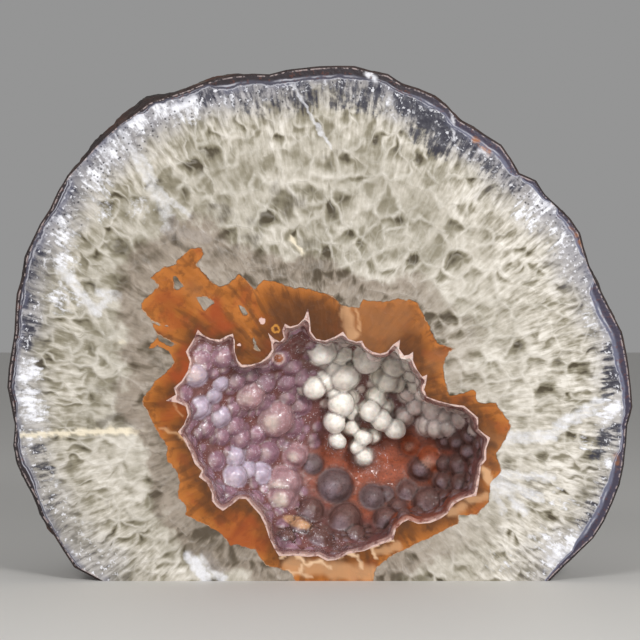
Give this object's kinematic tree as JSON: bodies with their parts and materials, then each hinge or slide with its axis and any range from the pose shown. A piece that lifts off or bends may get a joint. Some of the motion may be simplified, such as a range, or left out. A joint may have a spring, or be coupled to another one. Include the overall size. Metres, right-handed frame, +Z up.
{
  "type": "flame agate geode",
  "caption": "Polished agate geode half with a rough domed back, a flat sawn base and an open hollow lined by a lumpy crust.",
  "frame": {"origin": "middle of the bounding box at its base, on the surface the stone stands on", "axes": "+X along the width of the polished face, +Y from the polished face to the domed back, +Z up"},
  "size_m": [0.1498, 0.064, 0.1234],
  "materials": {
    "quartz": "polished cloudy quartz, grey-green to white, with an orange-brown agate band and a thin dark rough rind",
    "crust": "glossy lumpy chalcedony, mauve, white and grey, over a reddish floor"
  },
  "bodies": {
    "root": {"stone": "quartz", "hollow_crust": "crust"}
  },
  "joints": []
}
